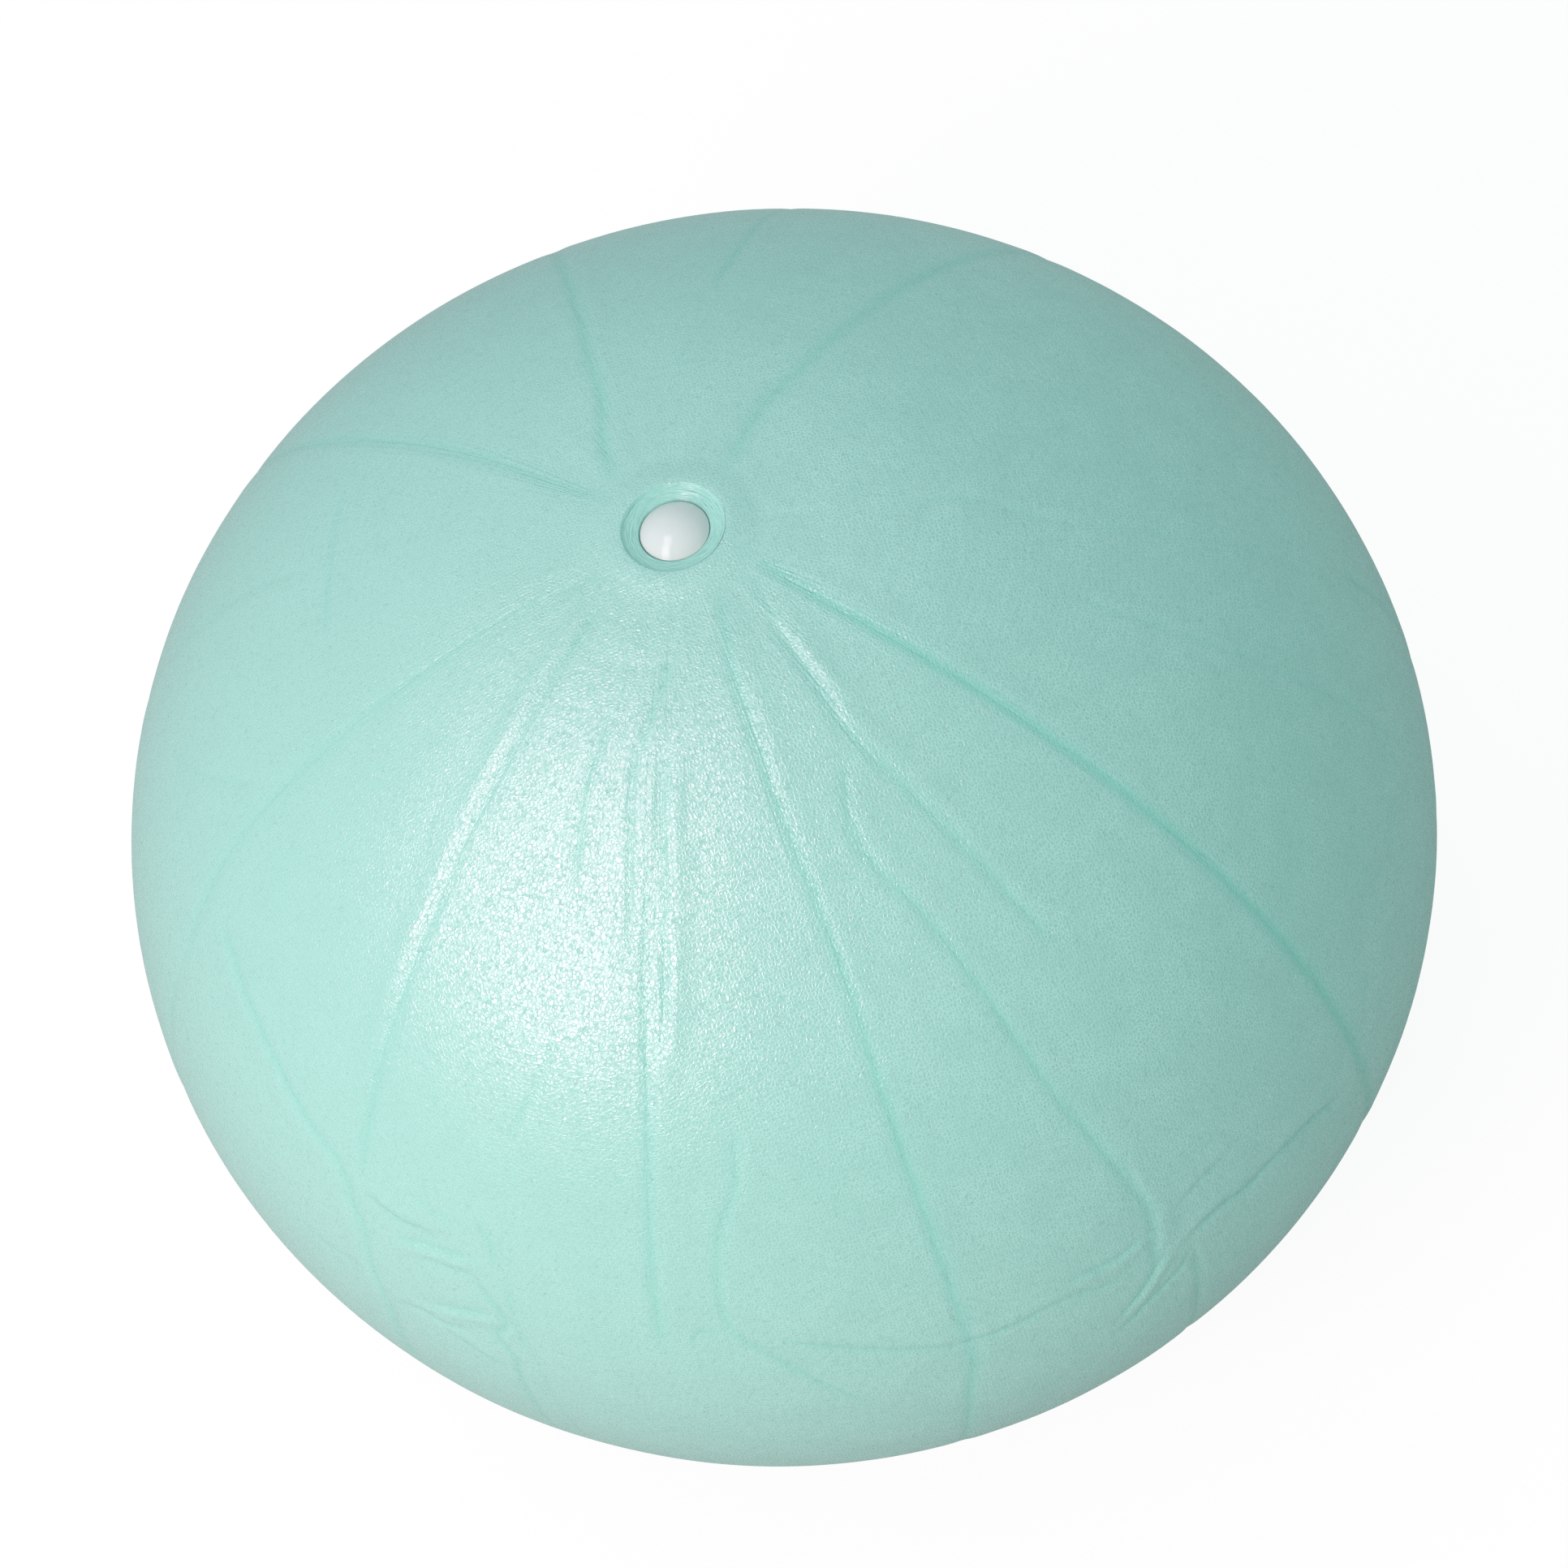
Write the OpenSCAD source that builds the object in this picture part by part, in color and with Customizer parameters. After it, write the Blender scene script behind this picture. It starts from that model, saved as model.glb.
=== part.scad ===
// Small soft exercise ball, standing on its flattened foot with the valve at its crown.
// The skin is one hollow moulding, the valve seat is bonded into it from inside,
// and a push-in plug closes the seat. Millimetres, +Z up, origin at the middle of the foot.

/* [Ball] */
// Width of the ball at its middle
ball_d = 250; // [200:5:300]
// Width of the flat patch that the soft ball rests on
foot_d = 48; // [42:1:54]
// Thickness of the moulded skin
skin_t = 0.8; // [0.6:0.1:1.2]

/* [Valve] */
// Width of the smooth dish round the plug, and of the hole in the skin
dish_d = 18.4; // [17:0.2:22]
// Depth of the dish floor below the crown
dish_depth = 2.7; // [2.4:0.1:3]
// Width of the flange that is bonded to the inside of the skin
flange_d = 28; // [26:1:34]
// Width of the bore that takes the plug or the inflating straw
bore_d = 6; // [5.6:0.1:6.6]
// Depth of the valve tube's inner end below the crown
tube_depth = 18; // [16:0.5:22]

/* [Plug] */
// Width of the plug's head over its thin brim
head_d = 12.4; // [11:0.1:13]
// Height of the plug's head, from the underside of its brim
head_h = 3; // [2.6:0.1:3.2]
// Depth of the plug's tip below the crown
tip_depth = 20.5; // [18:0.5:24]
// Number of sealing ribs on the stem
rib_count = 3; // [2:1:4]

/* [Hidden] */
$fn = 180;

// Ball section: a side arc rolls up from the foot, and a flatter crown arc takes over
// where the skin has turned to a slope of 3 across and 4 up.
turn_across = 0.6;
turn_up = 0.8;
foot_r = foot_d / 2;
side_r = ball_d / 2 - foot_r;
crown_r = side_r + foot_r / turn_across;
crown_z = side_r - foot_r * turn_up / turn_across;
top_z = crown_z + crown_r;
reach = ball_d;

// Valve seat
dish_r = dish_d / 2;
rim_z = top_z - 0.5;
dish_z = top_z - dish_depth;
dish_round = dish_depth - 0.1;
dish_rim_w = 0.2;
dish_floor_r = dish_r - dish_rim_w - dish_round;
flange_z = top_z - 2.4;
hub_z = top_z - 4;
tube_z = top_z - tube_depth;
tube_r = bore_d / 2 + 2.2;
tube_root_z = top_z - 6.5;
lead_in = 0.5;

// Plug: it hangs just clear of the dish floor, and its ribs just clear the bore
head_gap = 0.1;
rib_gap = 0.05;
brim_z = dish_z + head_gap;
brim_t = 0.5;
dome_r = 8.5;
dome_z = brim_z + head_h - dome_r;
stem_r = bore_d / 2 - 0.5;
rib_r = 0.75;
rib_x = bore_d / 2 - rib_gap - rib_r;
rib_top_z = dish_z - 2.8;
rib_bottom_z = tube_z + 3.5;
rib_pitch = (rib_top_z - rib_bottom_z) / (rib_count - 1);
tip_z = top_z - tip_depth;
tip_l = 2;
tip_r = 1.5;

skin_colour = [0.64, 0.87, 0.82];
seat_colour = [0.56, 0.80, 0.75];
plug_colour = [0.95, 0.96, 0.95];

// Right half of the ball's section, drawn in by the inset
module ball_half(inset) {
  intersection() {
    translate([0, crown_z]) circle(r = crown_r - inset);
    polygon([
      [0, crown_z],
      [turn_across * reach, crown_z + turn_up * reach],
      [0, crown_z + turn_up * reach]
    ]);
  }
  intersection() {
    translate([foot_r, side_r]) circle(r = side_r - inset);
    polygon([
      [foot_r, side_r],
      [foot_r + turn_across * reach, side_r + turn_up * reach],
      [foot_r + 2 * reach, side_r + turn_up * reach],
      [foot_r + 2 * reach, side_r - reach],
      [foot_r, side_r - reach]
    ]);
  }
  polygon([[0, inset], [foot_r, inset], [foot_r, side_r], [0, crown_z]]);
}

// Hollow skin with a round hole at its crown
module ball_shell() {
  color(skin_colour)
  rotate_extrude()
  difference() {
    ball_half(0);
    ball_half(skin_t);
    translate([0, crown_z]) square([dish_r, 2 * crown_r]);
  }
}

// Solid of the seat before its dish and bore are taken out
module seat_half() {
  intersection() {
    translate([0, crown_z]) circle(r = crown_r - skin_t);
    translate([0, flange_z]) square([flange_d / 2, top_z - flange_z]);
  }
  polygon([
    [0, tube_z],
    [tube_r, tube_z],
    [tube_r, tube_root_z],
    [dish_r, hub_z],
    [dish_r, rim_z],
    [0, rim_z]
  ]);
}

// Smooth dish, inner flange and tube, in one moulding
module valve_seat() {
  color(seat_colour)
  rotate_extrude()
  difference() {
    seat_half();
    translate([dish_floor_r, dish_z + dish_round]) circle(r = dish_round);
    translate([0, dish_z]) square([dish_floor_r, dish_depth]);
    translate([0, tube_z]) square([bore_d / 2, tube_depth]);
    polygon([
      [0, dish_z - lead_in],
      [bore_d / 2, dish_z - lead_in],
      [bore_d / 2 + lead_in, dish_z],
      [0, dish_z]
    ]);
  }
}

// Domed head on a thin brim, over a ribbed stem with a tapered tip
module plug() {
  color(plug_colour)
  rotate_extrude() {
    intersection() {
      translate([0, dome_z]) circle(r = dome_r);
      translate([0, brim_z]) square([head_d / 2, head_h]);
    }
    translate([0, brim_z]) square([head_d / 2, brim_t]);
    polygon([
      [0, tip_z],
      [tip_r, tip_z],
      [stem_r, tip_z + tip_l],
      [stem_r, brim_z + brim_t],
      [0, brim_z + brim_t]
    ]);
    for (i = [0 : rib_count - 1]) {
      translate([rib_x, rib_bottom_z + i * rib_pitch]) circle(r = rib_r);
    }
  }
}

ball_shell();
valve_seat();
plug();
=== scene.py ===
# %% [markdown]
# # A soft pilates ball
#
# The real object is a small, slack exercise ball: one hollow vinyl skin with a leather-like grain, a smooth
# valve dish in its crown and a white push-in plug. What makes it look real is not the round shape but the
# packing folds: the ball was shipped flat, so creases run from the valve down the skin like the lines
# between the segments of an orange. This lesson builds the skin, presses the folds into it, and then gives
# every surface its finish.
#
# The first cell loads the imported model. It fixes the scale and the place of everything that follows.

# %% Load the frame
import math

import bmesh
import bpy
import numpy as np
from mathutils import Matrix, Vector, kdtree


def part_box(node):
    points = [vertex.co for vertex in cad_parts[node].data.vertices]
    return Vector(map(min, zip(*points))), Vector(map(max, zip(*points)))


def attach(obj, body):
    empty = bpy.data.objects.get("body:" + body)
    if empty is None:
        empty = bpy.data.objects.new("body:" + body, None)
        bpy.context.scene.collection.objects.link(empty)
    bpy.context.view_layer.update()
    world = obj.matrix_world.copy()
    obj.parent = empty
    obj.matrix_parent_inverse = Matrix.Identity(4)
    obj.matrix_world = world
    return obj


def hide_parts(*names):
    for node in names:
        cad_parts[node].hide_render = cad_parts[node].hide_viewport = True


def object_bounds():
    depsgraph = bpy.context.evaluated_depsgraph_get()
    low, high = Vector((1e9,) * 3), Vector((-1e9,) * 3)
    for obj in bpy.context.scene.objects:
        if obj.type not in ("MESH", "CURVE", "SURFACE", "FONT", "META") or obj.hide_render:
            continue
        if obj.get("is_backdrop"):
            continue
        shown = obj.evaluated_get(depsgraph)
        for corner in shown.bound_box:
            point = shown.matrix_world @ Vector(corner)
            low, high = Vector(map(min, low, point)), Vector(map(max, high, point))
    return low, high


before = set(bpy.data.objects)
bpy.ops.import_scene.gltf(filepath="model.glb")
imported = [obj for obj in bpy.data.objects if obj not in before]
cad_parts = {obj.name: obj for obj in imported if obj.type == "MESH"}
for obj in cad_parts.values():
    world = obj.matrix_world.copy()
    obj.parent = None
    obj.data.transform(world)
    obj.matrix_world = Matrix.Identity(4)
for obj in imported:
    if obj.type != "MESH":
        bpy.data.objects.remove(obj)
cad_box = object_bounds()
shell_low, shell_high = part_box("ball_shell")
seat_low, seat_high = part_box("valve_seat")
plug_low, plug_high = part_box("plug")
MM = 0.001
print("frame nodes:", sorted(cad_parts))
print("shell from", round(shell_low.z, 4), "to", round(shell_high.z, 4), "m")

# %% [markdown]
# ## The section of the ball
#
# The ball stands on a flat foot. From there a side arc rolls up and over the middle, and a flatter crown arc
# takes over where the skin has turned to a slope of three across and four up. Both arcs come from two sizes,
# the width of the ball and the width of its foot. One number walks along the section: the *turn*, which is
# the angle between the skin's outward direction and straight up. It is 0 at the valve, 90 degrees at the
# middle of the ball and 180 at the foot.

# %% Section of the skin
BALL_R = 0.125
FOOT_R = 0.024
SKIN_T = 0.0008
TURN_ACROSS, TURN_UP = 0.6, 0.8
SIDE_R = BALL_R - FOOT_R
CROWN_R = SIDE_R + FOOT_R / TURN_ACROSS
CROWN_Z = SIDE_R - FOOT_R * TURN_UP / TURN_ACROSS
TOP_Z = CROWN_Z + CROWN_R
CROWN_TURN = math.asin(TURN_ACROSS)
print("half width off the frame by", round((shell_high.x - BALL_R) / MM, 3), "mm")


def section(turn, inset=0.0):
    """Distance from the axis and height of the skin at a turn in radians, drawn in by the inset."""
    turn = np.asarray(turn, float)
    crown = turn < CROWN_TURN
    radius = np.where(crown, CROWN_R, SIDE_R) - inset
    across = np.where(crown, 0.0, FOOT_R) + radius * np.sin(turn)
    height = np.where(crown, CROWN_Z, SIDE_R) + radius * np.cos(turn)
    return across, height


def skin_point(turn_deg, azimuth_deg):
    """Points of the round skin; azimuth 0 is +X and -90 faces the camera."""
    across, height = section(np.radians(turn_deg))
    azimuth = np.radians(azimuth_deg)
    return np.stack([across * np.cos(azimuth), across * np.sin(azimuth), height], -1)


# %% [markdown]
# A slack ball is never quite round. Seen from above this one is oval by one part in a hundred, which is
# enough to turn its outline by a few degrees. The stretch fades out towards the foot, so that the flat
# patch stays where the frame has it.

# %% Slack oval
OVAL = 0.010
OVAL_AZIMUTH = math.radians(-35)
OVAL_FADE_Z = 0.045


def slack(points):
    """Stretches points of the round ball along the oval's long direction."""
    x, y, z = np.asarray(points, float).T
    fade = np.clip(z / OVAL_FADE_Z, 0, 1)
    amount = OVAL * fade * fade * (3 - 2 * fade)
    c, s = math.cos(2 * OVAL_AZIMUTH), math.sin(2 * OVAL_AZIMUTH)
    return np.stack([x + amount * (c * x + s * y), y + amount * (s * x - c * y), z], -1)


widest, narrowest = BALL_R * (1 + OVAL), BALL_R * (1 - OVAL)
print("oval: half widths", round(widest / MM, 2), "and", round(narrowest / MM, 2), "mm")


# %% [markdown]
# ## Camera
#
# The photograph looks down on the ball, and the valve leans to the left in it, so the camera is rolled. The
# lens is a long one: the near side of the ball is hardly larger than the far side.

# %% Camera
VIEW_ELEVATION = math.radians(58.4)
VIEW_ROLL = math.radians(-19.3)
VIEW_DISTANCE = 0.9
LENS_MM = 106.5
AIM_RIGHT, AIM_UP = 0.0006, 0.0087

view_back = Vector((0, -math.cos(VIEW_ELEVATION), math.sin(VIEW_ELEVATION)))
level_right = Vector((1, 0, 0))
level_up = view_back.cross(level_right)
view_right = level_right * math.cos(VIEW_ROLL) + level_up * math.sin(VIEW_ROLL)
view_up = level_up * math.cos(VIEW_ROLL) - level_right * math.sin(VIEW_ROLL)
aim = Vector((0, 0, SIDE_R)) + view_right * AIM_RIGHT + view_up * AIM_UP

camera = bpy.data.objects.new("camera", bpy.data.cameras.new("camera"))
bpy.context.scene.collection.objects.link(camera)
camera.data.lens = LENS_MM
camera.data.sensor_width = 36
turned = Matrix((view_right, view_up, view_back)).transposed().to_4x4()
camera.matrix_world = Matrix.Translation(aim + view_back * VIEW_DISTANCE) @ turned
bpy.context.scene.camera = camera
print("camera at", [round(v, 3) for v in camera.matrix_world.translation])

# %% [markdown]
# ## Node wiring
#
# Materials and Geometry Nodes trees are both graphs of nodes, and both hold a lot of arithmetic. Wiring each
# Math node by hand hides what is meant. The class below wraps one socket, so that an ordinary expression
# such as `1 - mask * 0.4` adds the nodes that work it out. Every other node comes from its one method.

# %% Wires
class Wire:
    """An output socket in a node tree. Operators on it add Math nodes."""

    def __init__(self, tree, socket=None):
        self.tree = tree
        self.socket = socket

    def node(self, kind, settings=None, inputs=None, out=0):
        """Adds a node: its settings, then the values or links of its sockets. Gives one output."""
        made = self.tree.nodes.new(kind)
        for name, value in (settings or {}).items():
            setattr(made, name, value)
        for key, value in (inputs or {}).items():
            if isinstance(value, Wire):
                self.tree.links.new(value.socket, made.inputs[key])
            else:
                made.inputs[key].default_value = value
        return Wire(self.tree, made.outputs[out] if len(made.outputs) else None)

    def out(self, key):
        """Another output of the same node."""
        return Wire(self.tree, self.socket.node.outputs[key])

    def math(self, operation, *values):
        return self.node("ShaderNodeMath", {"operation": operation}, dict(enumerate(values)))

    def __add__(self, other):
        return self.math("ADD", self, other)

    def __radd__(self, other):
        return self.math("ADD", other, self)

    def __sub__(self, other):
        return self.math("SUBTRACT", self, other)

    def __rsub__(self, other):
        return self.math("SUBTRACT", other, self)

    def __mul__(self, other):
        return self.math("MULTIPLY", self, other)

    def __rmul__(self, other):
        return self.math("MULTIPLY", other, self)

    def __truediv__(self, other):
        return self.math("DIVIDE", self, other)

    def __neg__(self):
        return self.math("MULTIPLY", self, -1.0)

    def bell(self):
        """A bell curve: 1 where the value is 0, falling to nothing past 2 either side."""
        return self.math("EXPONENT", -(self * self))

    def step(self, low, high):
        """0 below the low value and 1 above the high one, smooth between."""
        return self.node("ShaderNodeMapRange", {"interpolation_type": "SMOOTHSTEP"},
                         {"Value": self, "From Min": low, "From Max": high})


def mixed(wire, factor, first, second):
    """Two colours mixed by a factor."""
    return wire.node("ShaderNodeMix", {"data_type": "RGBA"}, {0: factor, 6: first, 7: second}, out=2)


def vector(wire, operation, *values, out="Vector"):
    """One Vector Math node."""
    return wire.node("ShaderNodeVectorMath", {"operation": operation}, dict(enumerate(values)), out=out)


def noise(wire, place, scale, detail=2.0, roughness=0.5):
    """Soft random values, mostly between 0.3 and 0.7."""
    sizes = {"Vector": place, "Scale": scale, "Detail": detail, "Roughness": roughness}
    return wire.node("ShaderNodeTexNoise", None, sizes)


# %% [markdown]
# A Geometry Nodes tree is built once, with named inputs for its sizes. A modifier runs it on a source object,
# and the result is kept as a plain mesh without the modifier, because later steps measure plain meshes.

# %% Geometry node helpers
def geometry_tree(name, sizes):
    """A new tree with a geometry in and out, and named inputs given as (name, kind, value)."""
    tree = bpy.data.node_groups.new(name, "GeometryNodeTree")
    tree.interface.new_socket("Geometry", in_out="INPUT", socket_type="NodeSocketGeometry")
    for label, kind, value in sizes:
        socket = tree.interface.new_socket(label, in_out="INPUT", socket_type=kind)
        if value is not None:
            socket.default_value = value
    tree.interface.new_socket("Geometry", in_out="OUTPUT", socket_type="NodeSocketGeometry")
    return tree


def grown(name, source, tree, values):
    """The plain mesh object that a tree makes of a source object, with the tree's inputs by name."""
    modifier = source.modifiers.new("tree", "NODES")
    modifier.node_group = tree
    for item in tree.interface.items_tree:
        if item.in_out == "INPUT" and item.name in values:
            modifier[item.identifier] = values[item.name]
    evaluated = source.evaluated_get(bpy.context.evaluated_depsgraph_get())
    mesh = bpy.data.meshes.new_from_object(evaluated)
    source.modifiers.remove(modifier)
    made = bpy.data.objects.new(name, mesh)
    mesh.name = name
    bpy.context.scene.collection.objects.link(made)
    return made


def triangles(mesh):
    """Number of triangles that a mesh comes to."""
    return sum(len(p.vertices) - 2 for p in mesh.polygons)


# %% [markdown]
# ## Turned shapes
#
# The skin, the valve dish and the plug are all round about the same upright axis. A turned shape is a list
# of section points from one end of the axis to the other, copied round in columns. Where the section meets
# the axis, one point closes the shape with a fan of triangles.

# %% Lathe
def lathe(name, outline, columns, closed=False):
    """A mesh object turned about Z from (across, height) points, which run up the outside."""
    angles = np.linspace(0, 2 * math.pi, columns, endpoint=False)
    points, rows = [], []
    for across, height in outline:
        if across < 1e-9:
            rows.append([len(points)] * columns)
            points.append((0.0, 0.0, height))
            continue
        rows.append(list(range(len(points), len(points) + columns)))
        points.extend((across * math.cos(a), across * math.sin(a), height) for a in angles)
    faces = []
    above = rows[1:] + rows[:1] if closed else rows[1:]
    for low, high in zip(rows, above):
        for j in range(columns):
            k = (j + 1) % columns
            corners = [low[j], low[k], high[k], high[j]]
            faces.append(list(dict.fromkeys(corners)))
    mesh = bpy.data.meshes.new(name)
    mesh.from_pydata(points, [], faces)
    mesh.shade_smooth()
    made = bpy.data.objects.new(name, mesh)
    bpy.context.scene.collection.objects.link(made)
    return made


def arc(centre, radius, start_deg, end_deg, steps):
    """Section points on an arc; angles run from straight out, anticlockwise."""
    angles = np.radians(np.linspace(start_deg, end_deg, steps))
    return [(centre[0] + radius * math.cos(a), centre[1] + radius * math.sin(a)) for a in angles]


# %% [markdown]
# ## Where the folds run
#
# On the round ball nearly every long fold turns out to keep one azimuth, as a meridian does. So a fold is
# written as a few (turn, azimuth) places in degrees, from the valve downwards. Each fold also has a depth, a
# width, and a crest height: the crest is the raised lip on one side of the crease, positive on the side of
# growing azimuth. The crease shade says how much painted shade deepens the colour in the crease, from 0 to 1.
# Around the middle, where the flat-packed ball was bent double, short folds cross and make stars and zigzags.
# The far side is not in the photograph, and carries on in the same way.

# %% Long folds, from the valve down
# name: (depth mm, width mm, crest mm, painted crease shade, [(turn, azimuth), ...])
LONG_FOLDS = {
    "right": (0.28, 1.5, 0.12, 0.8, [
        (5, -42), (7, -44.5), (10, -47.4), (16, -48.6), (30, -48), (60, -47.8), (86, -47.2), (105, -46),
        (124, -45)]),
    "front_right": (0.26, 1.4, 0.14, 0.35, [
        (6, -50), (8, -58), (11, -65), (15, -68.6), (20, -70.6), (27, -68.6), (33, -67.4), (44, -66)]),
    "front_right_low": (0.24, 1.3, 0.09, 0.4, [
        (20.8, -72.6), (23.1, -76.4), (25.2, -78.7), (27.5, -80), (30.2, -78.8), (34, -76.9),
        (42, -75.6), (54, -74.6), (64.6, -73), (70, -72.1), (75.3, -71.7), (80, -72.4), (86, -72.6)]),
    "front": (0.22, 1.3, 0.08, 0.55, [
        (5.5, -74), (7.5, -80), (11, -86.6), (17, -88.4), (23, -89.1), (33, -88.9), (50, -89.5),
        (81, -89.8), (90, -91), (107, -92.8), (126, -94)]),
    "front_left": (0.25, 1.2, 0.08, 0.4, [
        (25, -113.2), (33, -113.4), (46, -113.3), (60, -114.2), (76, -114.8)]),
    "left_crest": (0.3, 1.3, -0.26, 0.25, [
        (6, -151), (8, -149), (12.5, -146.5), (18, -145), (27, -144.4), (34, -143.7), (45, -143.3),
        (52, -143.2), (64, -143)]),
    "left": (0.2, 2.0, -0.06, 0.15, [
        (5.5, -161), (7.5, -166.5), (12, -172.4), (24, -173.2), (43, -173.8), (58, -172.4),
        (76, -172.6), (100, -172), (122, -171)]),
    "back_left": (0.22, 1.7, 0.04, 0.35, [
        (4.8, 126), (8, 132), (16, 131), (31, 131.2), (46, 131.6), (75, 131), (100, 130), (120, 130)]),
    "back": (0.28, 1.4, -0.06, 0.45, [
        (5, 121), (6.5, 116), (9, 108), (13.5, 98), (17, 95.7), (25, 93), (39, 92), (66, 92), (92, 93)]),
    "back_right": (0.25, 1.6, 0.08, 0.4, [
        (5, 36), (8, 40), (12, 43), (18, 42), (31, 41.2), (50, 40.4), (76, 40), (100, 39), (122, 39)]),
    "back_short": (0.24, 1.1, -0.03, 0.4, [
        (25, 69.5), (32, 67.5), (42, 66.8), (64, 66), (88, 67)]),
}
print(len(LONG_FOLDS), "long folds")

# %% Slighter folds beside them
SLIGHT_FOLDS = {
    "front_right_top": (0.2, 0.9, 0.08, 0.2, [
        (8.3, -57), (9.4, -63.6), (11.2, -66.5), (13.4, -68.2), (15.7, -68.4), (17.8, -69.2),
        (20.5, -70)]),
    "front_left_inner": (0.3, 1.1, 0.3, 0.35, [
        (16, -110), (18.7, -110.2), (22, -110.9), (26, -110.5), (29.8, -111.1), (33, -110.8),
        (43, -112.6)]),
    "front_left_mid": (0.26, 0.9, 0.12, 0.3, [
        (8, -100), (9.4, -103.7), (11, -109), (14.3, -113.4), (17.5, -116.5), (20, -116.9),
        (24.4, -116.3), (29, -115.6), (34, -115.5)]),
    "front_left_outer": (0.27, 1.1, 0.18, 0.25, [
        (13, -127), (17, -126), (20.4, -126.7), (25, -126), (29, -125.6)]),
    "front_left_short": (0.17, 1.0, 0.03, 0.2, [
        (36.5, -125), (43, -125), (52, -128.4)]),
    "front_hook": (0.22, 1.0, 0.04, 0.3, [
        (46, -104.5), (54, -105.6), (58, -107.6), (66, -108.7), (71.5, -108.4), (76, -105.5),
        (81, -102.6), (88, -98.6)]),
    "front_curl": (0.2, 0.85, 0.0, 0.25, [
        (75.5, -112.5), (72.4, -111.6), (71.8, -110.4), (72.9, -108.2)]),
    "front_waist": (0.32, 0.9, 0.14, 0.3, [
        (72.8, -106), (75, -102), (78.5, -95), (80.5, -90), (80.3, -84), (79.4, -80)]),
    "left_slant": (0.46, 1.3, -0.28, 0.25, [
        (50.8, -170.7), (51.6, -167), (53, -163.7), (54.5, -160.9), (56.1, -157.4), (57.8, -154.4),
        (60.3, -150.7), (62.5, -146.5), (64.8, -144.7), (67.4, -144), (69.7, -142.8), (72.9, -142.5),
        (76.3, -142.2), (84, -141.2), (100, -142)]),
    "right_faint": (0.15, 1.2, 0.05, 0.15, [
        (27, -26), (39, -25.5), (52, -24.1), (71, -21.8), (95, -19)]),
    "right_top": (0.12, 1.2, 0.08, 0.1, [
        (16, -11), (21, -9.5), (27, -13), (36, -12), (46, -11), (70, -10)]),
    "left_upright": (0.18, 0.85, 0.0, 0.2, [
        (30.2, 139), (28.3, 152), (27.8, 171)]),
    "left_high": (0.1, 1.3, 0.04, 0.08, [
        (29, 155), (36, 154.6), (47, 155.4), (70, 155), (92, 155)]),
    "left_cross": (0.12, 1.0, 0.0, 0.1, [
        (52, 168), (44, 176.4), (36, 184.6)]),
}
print(len(SLIGHT_FOLDS), "slighter folds")

# %% Crossed folds round the middle
CROSS_FOLDS = {
    "star_top": (0.24, 1.0, 0.14, 0.3, [
        (64.6, -73), (70, -72.1), (75.3, -71.7), (80, -72.4), (85, -73)]),
    "star_up": (0.55, 0.95, 0.36, 0.5, [
        (84, -70.2), (82.7, -69), (82.2, -66), (82.9, -62.7), (82.8, -58.7), (84, -54), (87, -50)]),
    "star_up_second": (0.3, 0.8, 0.2, 0.25, [
        (77.5, -70.5), (76.6, -68.1), (75.9, -65.5), (75.8, -62)]),
    "star_down": (0.42, 0.8, 0.3, 0.4, [
        (80.5, -70.4), (82.8, -72), (86, -74.4), (87.3, -75.6), (90, -78.5)]),
    "star_down_second": (0.4, 0.8, 0.0, 0.4, [
        (83.4, -68.6), (84.8, -69.6), (87.2, -70.9), (89.4, -74.3), (90.9, -76.3), (92.5, -79)]),
    "star_tail": (0.36, 0.9, 0.0, 0.4, [
        (83, -69), (87.1, -69.4), (91.8, -69.6), (103, -70), (120, -70)]),
    "star_left": (0.36, 0.85, 0.22, 0.3, [
        (77, -71.8), (78.3, -75), (78.2, -77.1), (77.3, -81.5)]),
    "star_left_low": (0.26, 0.85, -0.1, 0.25, [
        (81, -74), (81.5, -77.5), (80.4, -80), (80.3, -85)]),
    "hip_top": (0.24, 0.9, -0.21, 0.1, [
        (62, -140.5), (61.8, -137), (63.2, -133.2), (64.1, -131.6)]),
    "hip_upper": (0.46, 0.85, 0.45, 0.15, [
        (64.5, -143.8), (65.8, -138.9), (65.8, -136.6), (65.4, -133.2)]),
    "hip_mid": (0.54, 0.85, -0.45, 0.22, [
        (69.2, -140.5), (67.8, -136.6), (67.4, -134), (66.8, -131.6), (65.8, -130)]),
    "hip_third": (0.3, 0.85, 0.0, 0.12, [
        (70, -137), (69.5, -135.3), (69.6, -132.8), (68.6, -130.6)]),
    "hip_lower_top": (0.46, 0.85, -0.39, 0.18, [
        (77.5, -137), (76.4, -134.5), (75.6, -132.3), (74.4, -128.8)]),
    "hip_lower": (0.41, 0.85, 0.21, 0.15, [
        (81.1, -141.2), (79.4, -137.5), (79.9, -135.4), (79.1, -131.1)]),
    "hip_last": (0.32, 0.85, 0.21, 0.1, [
        (81, -135.5), (83.1, -132.2), (85, -129.8)]),
    "hip_left": (0.18, 0.9, 0.0, 0.1, [
        (76.6, -152), (77.8, -147.5), (76.2, -142.6)]),
    "zigzag_top": (0.39, 0.8, 0.0, 0.3, [
        (61, -132.2), (63, -129.9), (66.3, -129), (67.8, -129.5)]),
    "zigzag": (0.46, 0.85, 0.17, 0.35, [
        (68.6, -132.2), (70.3, -130.8), (74.4, -128.9), (75.9, -128.7), (78, -129.9), (80.3, -129.3),
        (82, -128.6), (85.5, -128.7), (104, -129)]),
    "zigzag_right": (0.2, 0.85, 0.0, 0.15, [
        (65.8, -127), (69.2, -127.8), (77.2, -127.5), (82.7, -126.4), (106, -126)]),
}
print(len(CROSS_FOLDS), "crossed folds")

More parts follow.
